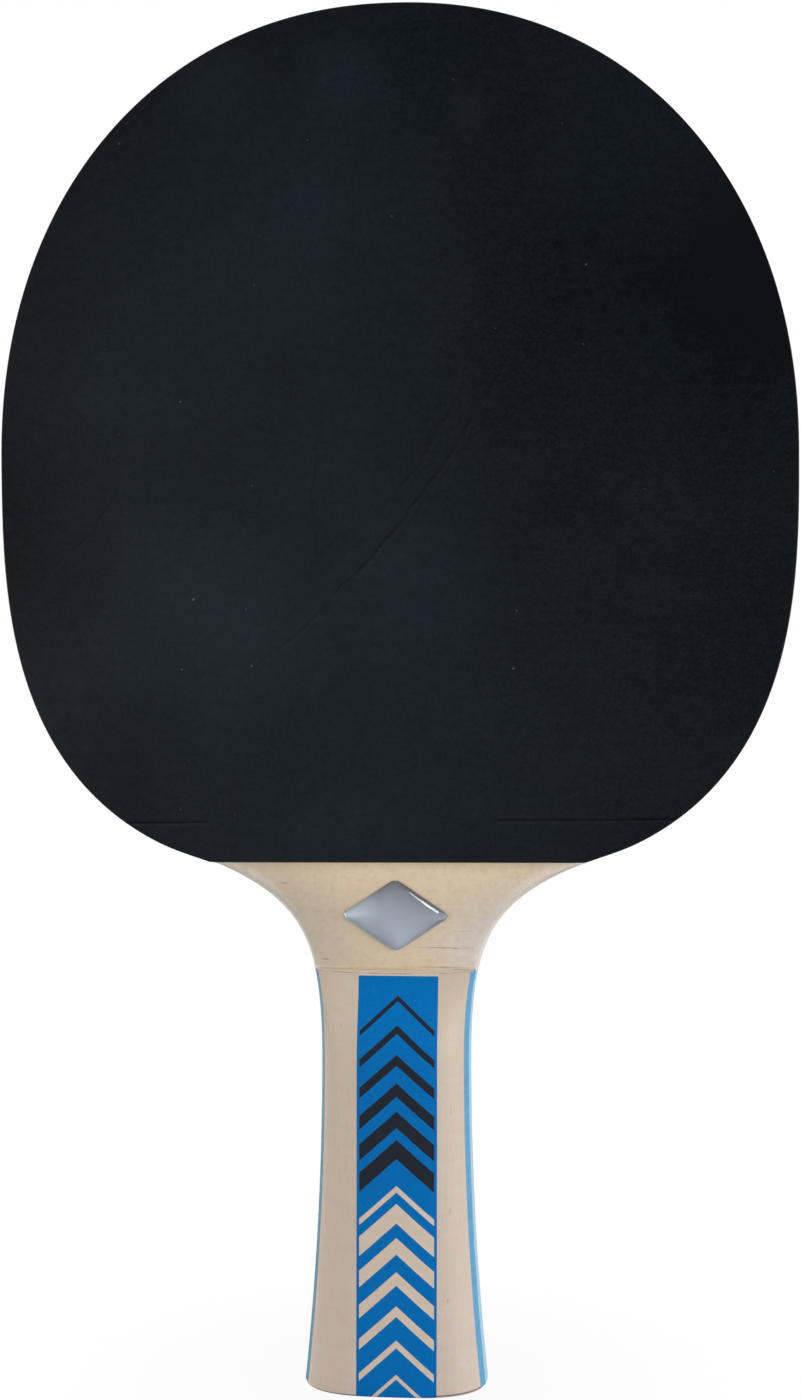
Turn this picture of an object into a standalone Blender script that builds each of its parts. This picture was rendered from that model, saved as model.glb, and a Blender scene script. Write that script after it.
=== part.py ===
"""Table tennis paddle, standing on its butt end.

A five-ply blade carries a sponge and a topsheet on each face. Its tang runs through the handle
between two dyed liners and two shaped scales, and each scale has a printed inlay let into it.
A domed badge sits on the front of the bare neck.
Metres, +Z up along the length, the front of the paddle faces -Y.
"""

import math

import bmesh
import bpy
from mathutils import Vector

# Lengths along the paddle, from the butt end upwards
HANDLE_LENGTH = 0.0786
NECK_LENGTH = 0.0208
RUBBER_LENGTH = 0.1607

# Head: two half superellipses that meet at the widest level
HEAD_WIDTH = 0.1500
HEAD_RISE = 0.0846
HEAD_RISE_POWER = 2.14
HEAD_CLOSE = 0.0036
HEAD_DROP_POWER = 2.84

# Neck: one curve from the head's lower side to the handle's waist
NECK_BLEND = 0.0050
NECK_PULL_HEAD = 0.0225
NECK_PULL_WAIST = 0.0245
NECK_ROUND = 0.0022
NECK_FADE = 0.0030

# Handle: a superellipse section with its own power across the width and through the thickness,
# slimmest at the waist and flared to the butt
WAIST_DROP = 0.0166
WAIST_WIDTH = 0.0284
WAIST_THICKNESS = 0.0220
BUTT_WIDTH = 0.0349
BUTT_THICKNESS = 0.0240
BUTT_ROUND = 0.0005
SECTION_ACROSS = 3.2
SECTION_THROUGH = 2.4
WOOD_UNDER_INLAY = 0.0007
RAMP_LENGTH = 0.0160
TOP_ARC = 0.0005

# Lay-up, from the middle of the blade outwards
CORE_PLY = 0.0030
INNER_PLY = 0.0010
OUTER_PLY = 0.0006
SPONGE = 0.0018
TOPSHEET = 0.0017
TOPSHEET_ROUND = 0.0004
LINER = 0.0025
GLUE_LINE = 0.00005

# Inlay, set flush in a groove along the whole scale
INLAY_WIDTH = 0.0150
INLAY_OFFSET = 0.0009
INLAY_THICKNESS = 0.0004
INLAY_GAP = 0.0001

# Badge: a rhombus with rounded corners, width and clearance taken at its sharp corners
BADGE_WIDTH = 0.0210
BADGE_CLEARANCE = 0.0034
BADGE_SIDE_RADIUS = 0.0009
BADGE_END_RADIUS = 0.0017
BADGE_PLATE = 0.0003
BADGE_DOME = 0.0011
DOME_POWER = 2.4

# How finely round stretches are stepped, and the angle from which an edge is drawn sharp
RISE_STEPS = 16
DROP_STEPS = 13
NECK_STEPS = 14
FLARE_STEPS = 6
ROUND_STEPS = 3
CORE_STEPS = 4
SIDE_STEPS = 6
INLAY_STEPS = 6
LINER_STEPS = 8
CORNER_STEPS = 4
DOME_STEPS = 5
SHARP_ANGLE = math.radians(35)

# Finishes: display colour, roughness and metallic value
CORE_WOOD = ((214, 193, 158), 0.6, 0.0)
INNER_VENEER = ((196, 160, 118), 0.6, 0.0)
OUTER_VENEER = ((205, 186, 158), 0.5, 0.0)
FOAM = ((224, 178, 104), 0.9, 0.0)
RUBBERS = {"front": ((24, 30, 36), 0.45, 0.0), "back": ((178, 30, 34), 0.45, 0.0)}
DYED_VENEER = ((72, 142, 186), 0.5, 0.0)
SCALE_WOOD = ((200, 184, 166), 0.5, 0.0)
PRINTED_VENEER = ((2, 103, 178), 0.45, 0.0)
BADGE_FOIL = ((176, 182, 190), 0.3, 0.9)
BADGE_RESIN = ((222, 226, 230), 0.05, 0.0)

# Levels that follow from the lengths
RUBBER_FOOT = HANDLE_LENGTH + NECK_LENGTH
HEAD_TOP = RUBBER_FOOT + RUBBER_LENGTH
WIDEST_LEVEL = HEAD_TOP - HEAD_RISE
HEAD_DROP = WIDEST_LEVEL - RUBBER_FOOT + HEAD_CLOSE
WAIST_LEVEL = HANDLE_LENGTH - WAIST_DROP
BADGE_LEVEL = (HANDLE_LENGTH + RUBBER_FOOT) / 2
BADGE_HEIGHT = NECK_LENGTH - 2 * BADGE_CLEARANCE

# Distances from the middle plane that follow from the lay-up
CORE_FACE = CORE_PLY / 2
INNER_BACK = CORE_FACE + GLUE_LINE
INNER_FACE = INNER_BACK + INNER_PLY
OUTER_BACK = INNER_FACE + GLUE_LINE
BLADE_FACE = OUTER_BACK + OUTER_PLY
SPONGE_BACK = BLADE_FACE + GLUE_LINE
SPONGE_FACE = SPONGE_BACK + SPONGE
TOPSHEET_BACK = SPONGE_FACE + GLUE_LINE
TOPSHEET_FACE = TOPSHEET_BACK + TOPSHEET
LINER_BACK = BLADE_FACE + GLUE_LINE
LINER_FACE = LINER_BACK + LINER
SCALE_BACK = LINER_FACE + GLUE_LINE
PLATE_BACK = BLADE_FACE + GLUE_LINE
PLATE_FACE = PLATE_BACK + BADGE_PLATE
DOME_BACK = PLATE_FACE + GLUE_LINE

# The two sides of the paddle
SIDES = {"front": -1, "back": 1}


def clear_scene():
    for item in list(bpy.data.objects):
        bpy.data.objects.remove(item, do_unlink=True)


def linear(level):
    """One display colour level, 0 to 255, as a linear value."""
    value = level / 255
    if value <= 0.04045:
        return value / 12.92
    return ((value + 0.055) / 1.055) ** 2.4


def make_material(name, finish):
    colour, roughness, metallic = finish
    material = bpy.data.materials.new(name)
    material.use_nodes = True
    shader = material.node_tree.nodes["Principled BSDF"]
    shader.inputs["Base Color"].default_value = [linear(level) for level in colour] + [1.0]
    shader.inputs["Roughness"].default_value = roughness
    shader.inputs["Metallic"].default_value = metallic
    return material


def ease(value):
    """A smooth step from 0 to 1."""
    value = min(max(value, 0.0), 1.0)
    return value * value * (3 - 2 * value)


def mix(start, end, share):
    return start + (end - start) * share


def stack_layers(name, layers, material):
    """A closed solid from outlines of equal length, each one extruded to the next."""
    bm = bmesh.new()
    foot = bm.faces.new([bm.verts.new(place) for place in layers[0]])
    cap = foot
    for layer in layers[1:]:
        grown = bmesh.ops.extrude_face_region(bm, geom=[cap])
        if cap is not foot:
            bm.faces.remove(cap)
        cap = next(item for item in grown["geom"] if isinstance(item, bmesh.types.BMFace))
        for vert, place in zip(cap.verts, layer):
            vert.co = place
    bmesh.ops.recalc_face_normals(bm, faces=bm.faces)
    mesh = bpy.data.meshes.new(name)
    bm.to_mesh(mesh)
    bm.free()
    mesh.materials.append(material)
    mesh.shade_smooth()
    mesh.set_sharp_from_angle(angle=SHARP_ANGLE)
    item = bpy.data.objects.new(name, mesh)
    bpy.context.scene.collection.objects.link(item)


# Outline of the blade

def head_rise_points():
    points = []
    for step in range(RISE_STEPS):
        angle = math.pi / 2 * (1 - step / RISE_STEPS)
        x = HEAD_WIDTH / 2 * abs(math.cos(angle)) ** (2 / HEAD_RISE_POWER)
        z = WIDEST_LEVEL + HEAD_RISE * math.sin(angle) ** (2 / HEAD_RISE_POWER)
        points.append(Vector((x if step else 0.0, z)))
    return points


def head_drop_point(angle):
    x = HEAD_WIDTH / 2 * math.cos(angle) ** (2 / HEAD_DROP_POWER)
    z = WIDEST_LEVEL - HEAD_DROP * math.sin(angle) ** (2 / HEAD_DROP_POWER)
    return Vector((x, z))


def head_drop_end():
    """The angle at which the neck curve leaves the head."""
    return math.asin((1 - NECK_BLEND / HEAD_DROP) ** (HEAD_DROP_POWER / 2))


def head_drop_heading(angle):
    """The direction in which the head's side runs down at an angle, from the curve's slope."""
    power = 2 / HEAD_DROP_POWER - 1
    across = -HEAD_WIDTH / 2 * math.cos(angle) ** power * math.sin(angle)
    down = -HEAD_DROP * math.sin(angle) ** power * math.cos(angle)
    return Vector((across, down)).normalized()


def head_drop_points():
    last = head_drop_end()
    return [head_drop_point(last * step / DROP_STEPS) for step in range(DROP_STEPS)]


def neck_points():
    """A cubic curve, in line with the head at its top and upright at the waist."""
    last = head_drop_end()
    start = head_drop_point(last)
    heading = head_drop_heading(last)
    end = Vector((WAIST_WIDTH / 2, WAIST_LEVEL))
    pull_start = start + heading * NECK_PULL_HEAD
    pull_end = end + Vector((0, NECK_PULL_WAIST))
    points = []
    for step in range(NECK_STEPS):
        t = step / NECK_STEPS
        s = 1 - t
        points.append(s ** 3 * start + 3 * s * s * t * pull_start + 3 * s * t * t * pull_end + t ** 3 * end)
    return points


def butt_inset(z):
    """How far the rounded butt edge draws in at a height."""
    if z >= BUTT_ROUND:
        return 0.0
    return BUTT_ROUND - math.sqrt(BUTT_ROUND ** 2 - (BUTT_ROUND - z) ** 2)


def flare_share(z):
    return max(0.0, 1 - z / WAIST_LEVEL) ** 2


def flare_points():
    levels = [mix(WAIST_LEVEL, BUTT_ROUND, step / FLARE_STEPS) for step in range(FLARE_STEPS)]
    for step in range(ROUND_STEPS + 1):
        levels.append(BUTT_ROUND * (1 - math.sin(math.pi / 2 * step / ROUND_STEPS)))
    return [Vector((mix(WAIST_WIDTH, BUTT_WIDTH, flare_share(z)) / 2 - butt_inset(z), z)) for z in levels]


BLADE_SIDE = head_rise_points() + head_drop_points() + neck_points() + flare_points()


def side_above(level):
    """The blade's right side from its top down to a level."""
    points = [point for point in BLADE_SIDE if point.y > level]
    return points + [Vector((half_width(level), level))]


def half_width(z):
    """Half the blade's width at a height in the neck or the handle."""
    for upper, lower in zip(BLADE_SIDE, BLADE_SIDE[1:]):
        if lower.y <= z <= upper.y:
            return mix(lower.x, upper.x, (z - lower.y) / (upper.y - lower.y))
    return BLADE_SIDE[-1].x


def half_thickness(z):
    """Half the handle's thickness at a height, before the ramp at its top."""
    return mix(WAIST_THICKNESS, BUTT_THICKNESS, flare_share(z)) / 2 - butt_inset(z)


def section_share(y, z):
    """Share of the handle's width that is left at a distance from its middle plane."""
    return (1 - (y / half_thickness(z)) ** SECTION_THROUGH) ** (1 / SECTION_ACROSS)


def edge_inset(y):
    """How far the rounded neck edge draws in at a distance from the middle plane."""
    depth = max(BLADE_FACE - y, 0.0)
    if depth >= NECK_ROUND:
        return 0.0
    return NECK_ROUND - math.sqrt(NECK_ROUND ** 2 - (NECK_ROUND - depth) ** 2)


def ply_side(y):
    """The blade's right side at a distance from its middle plane."""
    points = []
    last = len(BLADE_SIDE) - 1
    for index, point in enumerate(BLADE_SIDE):
        tangent = BLADE_SIDE[min(index + 1, last)] - BLADE_SIDE[max(index - 1, 0)]
        outward = Vector((-tangent.y, tangent.x)).normalized()
        above_scale = ease((point.y - HANDLE_LENGTH) / NECK_FADE)
        below_rubber = ease((RUBBER_FOOT - point.y) / NECK_FADE)
        moved = point - outward * edge_inset(y) * above_scale * below_rubber
        if above_scale < 1:
            moved.x -= point.x * (1 - section_share(y, point.y)) * (1 - above_scale)
        points.append(moved)
    return points


def both_sides(side, y):
    """A closed outline from its right side, set at a distance from the middle plane."""
    left = [Vector((-point.x, point.y)) for point in reversed(side) if point.x > 0]
    return [Vector((point.x, y, point.y)) for point in side + left]


def make_ply(name, distances, material):
    layers = [both_sides(ply_side(abs(y)), y) for y in distances]
    stack_layers(name, layers, material)


def make_blade():
    core = make_material("core_wood", CORE_WOOD)
    distances = [mix(-CORE_FACE, CORE_FACE, step / CORE_STEPS) for step in range(CORE_STEPS + 1)]
    make_ply("blade_core", distances, core)
    for side, sign in SIDES.items():
        inner = make_material(f"{side}_inner_veneer", INNER_VENEER)
        outer = make_material(f"{side}_outer_veneer", OUTER_VENEER)
        make_ply(f"{side}_inner_ply", (sign * INNER_BACK, sign * INNER_FACE), inner)
        make_ply(f"{side}_outer_ply", (sign * OUTER_BACK, sign * BLADE_FACE), outer)


# Rubbers

def rubber_outline(inset, y):
    """The rubber's outline, drawn in all round by an inset."""
    side = side_above(RUBBER_FOOT)
    points = []
    last = len(side) - 1
    for index, point in enumerate(side):
        tangent = side[min(index + 1, last)] - side[max(index - 1, 0)]
        outward = Vector((-tangent.y, tangent.x)).normalized()
        moved = point - outward * inset
        if index == 0:
            moved = point - Vector((0, inset))
        if index == last:
            moved = Vector((point.x - inset, point.y + inset))
        points.append(moved)
    return both_sides(points, y)


def make_rubbers():
    for side, sign in SIDES.items():
        foam = make_material(f"{side}_foam", FOAM)
        sheet = make_material(f"{side}_rubber", RUBBERS[side])
        sponge = [rubber_outline(0.0, sign * y) for y in (SPONGE_BACK, SPONGE_FACE)]
        stack_layers(f"{side}_sponge", sponge, foam)
        shoulder = TOPSHEET_FACE - TOPSHEET_ROUND
        topsheet = [rubber_outline(0.0, sign * y) for y in (TOPSHEET_BACK, shoulder)]
        topsheet.append(rubber_outline(TOPSHEET_ROUND, sign * TOPSHEET_FACE))
        stack_layers(f"{side}_topsheet", topsheet, sheet)


# Handle

def handle_levels():
    levels = [point.y for point in BLADE_SIDE if point.y < HANDLE_LENGTH]
    return [HANDLE_LENGTH] + levels


def ramp(z):
    """Share of the scale's height that is left where it runs out at its top."""
    full = half_thickness(z) - SCALE_BACK
    lip = WOOD_UNDER_INLAY + INLAY_GAP + INLAY_THICKNESS
    start = HANDLE_LENGTH - RAMP_LENGTH
    return mix(1.0, lip / full, ease((z - start) / RAMP_LENGTH))


def scale_surface(x, z):
    """Distance of the scale's outer surface from the middle plane."""
    share = (1 - (abs(x) / half_width(z)) ** SECTION_ACROSS) ** (1 / SECTION_THROUGH)
    return SCALE_BACK + (half_thickness(z) * share - SCALE_BACK) * ramp(z)


def scale_flank(edge, z):
    """Section points from the scale's seat up to the groove's edge, on the edge's side."""
    seat_angle = math.asin((SCALE_BACK / half_thickness(z)) ** (SECTION_THROUGH / 2))
    edge_angle = math.acos((abs(edge) / half_width(z)) ** (SECTION_ACROSS / 2))
    points = []
    for step in range(SIDE_STEPS + 1):
        angle = mix(seat_angle, edge_angle, step / SIDE_STEPS)
        x = half_width(z) * math.cos(angle) ** (2 / SECTION_ACROSS)
        y = scale_surface(x, z) if step else SCALE_BACK
        points.append((math.copysign(x, edge), y))
    return points


def across_inlay(gap):
    """Places across the inlay from right to left, widened by a gap on both sides."""
    half_wide = INLAY_WIDTH / 2 + gap
    right = INLAY_OFFSET + half_wide
    left = INLAY_OFFSET - half_wide
    return [mix(right, left, step / INLAY_STEPS) for step in range(INLAY_STEPS + 1)]


def place_layer(outline, z, sign):
    """A handle outline at a height; at the handle's top it rises in an arc to both sides."""
    arc = TOP_ARC if z == HANDLE_LENGTH else 0.0
    return [Vector((x, sign * y, z + arc * (x / half_width(z)) ** 2)) for x, y in outline]


def scale_layer(z, sign):
    groove = across_inlay(INLAY_GAP)
    floor = [(x, scale_surface(x, z) - INLAY_THICKNESS - INLAY_GAP) for x in groove]
    outline = scale_flank(groove[0], z) + floor + scale_flank(groove[-1], z)[::-1]
    return place_layer(outline, z, sign)


def inlay_layer(z, sign):
    outer = [(x, scale_surface(x, z)) for x in across_inlay(0.0)]
    inner = [(x, y - INLAY_THICKNESS) for x, y in reversed(outer)]
    return place_layer(outer + inner, z, sign)


def across_liner(y, z):
    """Places across a face of the liner from right to left."""
    right = half_width(z) * section_share(y, z)
    return [mix(right, -right, step / LINER_STEPS) for step in range(LINER_STEPS + 1)]


def liner_layer(z, sign):
    face = [(x, LINER_FACE) for x in across_liner(LINER_FACE, z)]
    back = [(x, LINER_BACK) for x in reversed(across_liner(LINER_BACK, z))]
    return place_layer(face + back, z, sign)


def make_handle():
    levels = handle_levels()
    for side, sign in SIDES.items():
        dyed = make_material(f"{side}_dyed_veneer", DYED_VENEER)
        wood = make_material(f"{side}_scale_wood", SCALE_WOOD)
        printed = make_material(f"{side}_printed_veneer", PRINTED_VENEER)
        stack_layers(f"{side}_handle_liner", [liner_layer(z, sign) for z in levels], dyed)
        stack_layers(f"{side}_handle_scale", [scale_layer(z, sign) for z in levels], wood)
        stack_layers(f"{side}_handle_inlay", [inlay_layer(z, sign) for z in levels], printed)


# Badge

def rounded_corner(before, corner, after, radius):
    """Points of an arc that rounds a corner of an outline."""
    to_before = (before - corner).normalized()
    to_after = (after - corner).normalized()
    half_angle = to_before.angle(to_after) / 2
    centre = corner + (to_before + to_after).normalized() * radius / math.sin(half_angle)
    start = corner + to_before * radius / math.tan(half_angle) - centre
    end = corner + to_after * radius / math.tan(half_angle) - centre
    points = []
    for step in range(CORNER_STEPS + 1):
        share = step / CORNER_STEPS
        points.append(centre + start.lerp(end, share).normalized() * radius)
    return points


def badge_outline():
    half_wide = BADGE_WIDTH / 2
    half_high = BADGE_HEIGHT / 2
    right = Vector((half_wide, 0))
    top = Vector((0, half_high))
    corners = (right, top, -right, -top)
    radii = (BADGE_SIDE_RADIUS, BADGE_END_RADIUS) * 2
    points = []
    for index, radius in enumerate(radii):
        after = corners[(index + 1) % len(corners)]
        points += rounded_corner(corners[index - 1], corners[index], after, radius)
    return points


def badge_layer(y, share=1.0):
    return [Vector((point.x * share, -y, BADGE_LEVEL + point.y * share)) for point in badge_outline()]


def make_badge():
    foil = make_material("badge_foil", BADGE_FOIL)
    resin = make_material("badge_resin", BADGE_RESIN)
    stack_layers("badge_plate", [badge_layer(PLATE_BACK), badge_layer(PLATE_FACE)], foil)
    dome = []
    for step in range(DOME_STEPS):
        angle = math.pi / 2 * step / DOME_STEPS
        share = math.cos(angle) ** (2 / DOME_POWER)
        dome.append(badge_layer(DOME_BACK + BADGE_DOME * math.sin(angle) ** (2 / DOME_POWER), share))
    stack_layers("badge_dome", dome, resin)


clear_scene()
make_blade()
make_rubbers()
make_handle()
make_badge()
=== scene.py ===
"""Looks of the table tennis paddle: fine outlines, rubber, veneers, print, badge and studio light.

The paddle stands on its butt end, +Z runs up its length and the black front faces -Y. Metres.
"""

import math
from functools import lru_cache

import bmesh
import bpy
from mathutils import Matrix, Quaternion, Vector


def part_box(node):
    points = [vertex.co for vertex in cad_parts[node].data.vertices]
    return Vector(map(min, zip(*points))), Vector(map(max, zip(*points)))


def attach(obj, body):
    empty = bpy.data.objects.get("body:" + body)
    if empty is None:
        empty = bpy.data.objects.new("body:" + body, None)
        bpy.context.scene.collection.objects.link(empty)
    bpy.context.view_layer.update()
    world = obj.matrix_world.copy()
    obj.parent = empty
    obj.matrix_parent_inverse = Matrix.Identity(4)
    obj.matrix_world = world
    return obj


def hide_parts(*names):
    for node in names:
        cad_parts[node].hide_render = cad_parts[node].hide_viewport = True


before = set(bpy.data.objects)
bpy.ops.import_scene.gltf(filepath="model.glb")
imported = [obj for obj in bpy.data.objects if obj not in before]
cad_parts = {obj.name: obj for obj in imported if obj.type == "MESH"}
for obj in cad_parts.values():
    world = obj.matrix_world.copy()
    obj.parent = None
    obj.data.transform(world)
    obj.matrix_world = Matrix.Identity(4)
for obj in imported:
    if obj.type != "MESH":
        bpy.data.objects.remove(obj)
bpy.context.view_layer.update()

# Levels and widths read from the frame
SHEET_LOW, SHEET_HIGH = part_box("front_topsheet")
INLAY_LOW, INLAY_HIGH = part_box("front_handle_inlay")
PLATE_LOW, PLATE_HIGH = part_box("badge_plate")
RUBBER_FOOT = SHEET_LOW.z
HEAD_TOP = SHEET_HIGH.z
HEAD_WIDTH = SHEET_HIGH.x - SHEET_LOW.x
INLAY_OFFSET = (INLAY_LOW.x + INLAY_HIGH.x) / 2
INLAY_WIDTH = INLAY_HIGH.x - INLAY_LOW.x
BADGE_LEVEL = (PLATE_LOW.z + PLATE_HIGH.z) / 2

# Shape of the outline, as in the solids
HANDLE_LENGTH = 0.0786
HEAD_RISE = 0.0846
HEAD_RISE_POWER = 2.14
HEAD_CLOSE = 0.0036
HEAD_DROP_POWER = 2.84
NECK_BLEND = 0.0050
NECK_PULL_HEAD = 0.0225
NECK_PULL_WAIST = 0.0245
NECK_ROUND = 0.0022
NECK_FADE = 0.0030
WAIST_DROP = 0.0166
WAIST_WIDTH = 0.0284
WAIST_THICKNESS = 0.0220
BUTT_WIDTH = 0.0349
BUTT_THICKNESS = 0.0240
BUTT_ROUND = 0.0005
SECTION_ACROSS = 3.2
SECTION_THROUGH = 2.4
SCALE_LIP = 0.0012
RAMP_LENGTH = 0.0160
TOP_ARC = 0.0005
INLAY_THICKNESS = 0.0004
INLAY_GAP = 0.00001
WIDEST_LEVEL = HEAD_TOP - HEAD_RISE
HEAD_DROP = WIDEST_LEVEL - RUBBER_FOOT + HEAD_CLOSE
WAIST_LEVEL = HANDLE_LENGTH - WAIST_DROP

# Badge: a rhombus with rounded corners, sizes over its sharp corners
BADGE_WIDTH = 0.0210
BADGE_HEIGHT = 0.0140
BADGE_SIDE_RADIUS = 0.0009
BADGE_END_RADIUS = 0.0017
LENS_HEIGHT = 0.00110
LENS_FLATNESS = 2.6
LENS_RIM = 1.15
FOIL_INSET = 0.985
LENS_SINK = 0.0001

# Rubber: a skin on pips, with a scored line above the lower edge
SKIN = 0.0010
RIM_ROUND = 0.0003
FOAM_LONGER = 0.0002
SHEET_TURN = 0.0065
FOOT_TRIM = 0.0010
FOOT_TRIM_REACH = 0.0040
PIP_PITCH = 0.0021
PIP_RADIUS = 0.00075
PIP_FLARE = 1.25
PIP_SIDES = 10
PIP_RING = 0.93
PIP_EDGE = 0.985
LINE_LEVEL = 0.1071
LINE_WIDTH = 0.0009
LINE_WALL = 0.0003
LINE_DEPTH = 0.00010
LINE_TILT = 0.0125
LINE_GAP = {"front": (-0.0353, 0.0194), "back": (-0.0194, 0.0353)}

# How finely round stretches are stepped
RISE_STEPS = 90
DROP_STEPS = 70
NECK_STEPS = 60
FLARE_STEPS = 34
ROUND_STEPS = 6
PLY_STEPS = 5
FLANK_STEPS = 14
INLAY_STEPS = 14
LINER_STEPS = 14
CORNER_STEPS = 12
STRAIGHT_STEPS = 14
DOME_STEPS = 18
RIM_STEPS = 3
SHARP_ANGLE = math.radians(35)

# Camera of the photographed view
CAMERA_AZIMUTH = math.radians(5.0)
CAMERA_ELEVATION = math.radians(1.0)
CAMERA_DISTANCE = 0.410
CAMERA_ASIDE = 0.00068
CAMERA_LEVEL = 0.1298
CAMERA_LENS = 55.3
CAMERA_SENSOR = 36.0
CAMERA_NEAR = 0.01

SIDES = {"front": -1, "back": 1}


# Small helpers

def linear(level):
    """One display colour level, 0 to 255, as a linear value."""
    value = level / 255
    if value <= 0.04045:
        return value / 12.92
    return ((value + 0.055) / 1.055) ** 2.4


def shade(red, green, blue):
    """A display colour, 0 to 255, as a linear colour."""
    return (linear(red), linear(green), linear(blue), 1.0)


def ease(value):
    """A smooth step from 0 to 1."""
    value = min(max(value, 0.0), 1.0)
    return value * value * (3 - 2 * value)


def mix(start, end, share):
    return start + (end - start) * share


@lru_cache(maxsize=None)
def span(node):
    """Distances of a node's two faces from the middle plane, the inner one first."""
    low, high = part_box(node)
    return sorted((abs(low.y), abs(high.y)))


# Outline of the blade

def head_rise_points():
    points = []
    for step in range(RISE_STEPS):
        angle = math.pi / 2 * (1 - step / RISE_STEPS)
        x = HEAD_WIDTH / 2 * abs(math.cos(angle)) ** (2 / HEAD_RISE_POWER)
        z = WIDEST_LEVEL + HEAD_RISE * math.sin(angle) ** (2 / HEAD_RISE_POWER)
        points.append(Vector((x if step else 0.0, z)))
    return points


def head_drop_point(angle):
    x = HEAD_WIDTH / 2 * math.cos(angle) ** (2 / HEAD_DROP_POWER)
    z = WIDEST_LEVEL - HEAD_DROP * math.sin(angle) ** (2 / HEAD_DROP_POWER)
    return Vector((x, z))


def head_drop_end():
    """The angle at which the neck curve leaves the head."""
    return math.asin((1 - NECK_BLEND / HEAD_DROP) ** (HEAD_DROP_POWER / 2))


def head_drop_heading(angle):
    """The direction in which the head's side runs down at an angle, from the curve's slope."""
    power = 2 / HEAD_DROP_POWER - 1
    across = -HEAD_WIDTH / 2 * math.cos(angle) ** power * math.sin(angle)
    down = -HEAD_DROP * math.sin(angle) ** power * math.cos(angle)
    return Vector((across, down)).normalized()


def head_drop_points():
    last = head_drop_end()
    return [head_drop_point(last * step / DROP_STEPS) for step in range(DROP_STEPS)]


def neck_points():
    """A cubic curve, in line with the head at its top and upright at the waist."""
    last = head_drop_end()
    start = head_drop_point(last)
    end = Vector((WAIST_WIDTH / 2, WAIST_LEVEL))
    pull_start = start + head_drop_heading(last) * NECK_PULL_HEAD
    pull_end = end + Vector((0, NECK_PULL_WAIST))
    points = []
    for step in range(NECK_STEPS):
        t = step / NECK_STEPS
        s = 1 - t
        points.append(s ** 3 * start + 3 * s * s * t * pull_start + 3 * s * t * t * pull_end + t ** 3 * end)
    return points


def butt_inset(z):
    """How far the rounded butt edge draws in at a height."""
    if z >= BUTT_ROUND:
        return 0.0
    return BUTT_ROUND - math.sqrt(BUTT_ROUND ** 2 - (BUTT_ROUND - z) ** 2)


def flare_share(z):
    return max(0.0, 1 - z / WAIST_LEVEL) ** 2


def flare_points():
    levels = [mix(WAIST_LEVEL, BUTT_ROUND, step / FLARE_STEPS) for step in range(FLARE_STEPS)]
    for step in range(ROUND_STEPS + 1):
        levels.append(BUTT_ROUND * (1 - math.sin(math.pi / 2 * step / ROUND_STEPS)))
    return [Vector((mix(WAIST_WIDTH, BUTT_WIDTH, flare_share(z)) / 2 - butt_inset(z), z)) for z in levels]


BLADE_SIDE = head_rise_points() + head_drop_points() + neck_points() + flare_points()


@lru_cache(maxsize=None)
def half_width(z):
    """Half the blade's width at a height."""
    for upper, lower in zip(BLADE_SIDE, BLADE_SIDE[1:]):
        if lower.y <= z <= upper.y:
            return mix(lower.x, upper.x, (z - lower.y) / (upper.y - lower.y))
    return BLADE_SIDE[-1].x


def half_thickness(z):
    """Half the handle's thickness at a height, before the ramp at its top."""
    return mix(WAIST_THICKNESS, BUTT_THICKNESS, flare_share(z)) / 2 - butt_inset(z)


def section_share(y, z):
    """Share of the handle's width that is left at a distance from its middle plane."""
    return (1 - (y / half_thickness(z)) ** SECTION_THROUGH) ** (1 / SECTION_ACROSS)


# Meshes

def start_face(bm, outline):
    return bm.faces.new([bm.verts.new(place) for place in outline])


def grow_face(bm, face, outline, keep):
    """Extrudes a face to the next outline and returns the new end face."""
    grown = bmesh.ops.extrude_face_region(bm, geom=[face])
    if not keep:
        bm.faces.remove(face)
    end = next(item for item in grown["geom"] if isinstance(item, bmesh.types.BMFace))
    for vert, place in zip(end.verts, outline):
        vert.co = place
    return end


def stack_layers(layers):
    """A closed solid from outlines of equal length, each one extruded to the next."""
    bm = bmesh.new()
    face = start_face(bm, layers[0])
    for index, outline in enumerate(layers[1:]):
        face = grow_face(bm, face, outline, keep=index == 0)
    bmesh.ops.recalc_face_normals(bm, faces=bm.faces)
    return bm


def finish_mesh(bm, name, material):
    mesh = bpy.data.meshes.new(name)
    bm.to_mesh(mesh)
    bm.free()
    mesh.materials.append(material)
    return mesh


def add_object(name, data):
    made = bpy.data.objects.new(name, data)
    bpy.context.scene.collection.objects.link(made)
    return made


def make_piece(bm, name, material, node):
    """Turns a mesh into a piece that stands for a node of the frame."""
    mesh = finish_mesh(bm, name, material)
    mesh.shade_smooth()
    mesh.set_sharp_from_angle(angle=SHARP_ANGLE)
    piece = add_object(name, mesh)
    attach(piece, "root")
    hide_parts(node)


# Blade

def edge_inset(y, face):
    """How far the rounded neck edge draws in at a distance from the middle plane."""
    depth = max(face - y, 0.0)
    if depth >= NECK_ROUND:
        return 0.0
    return NECK_ROUND - math.sqrt(NECK_ROUND ** 2 - (NECK_ROUND - depth) ** 2)


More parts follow.
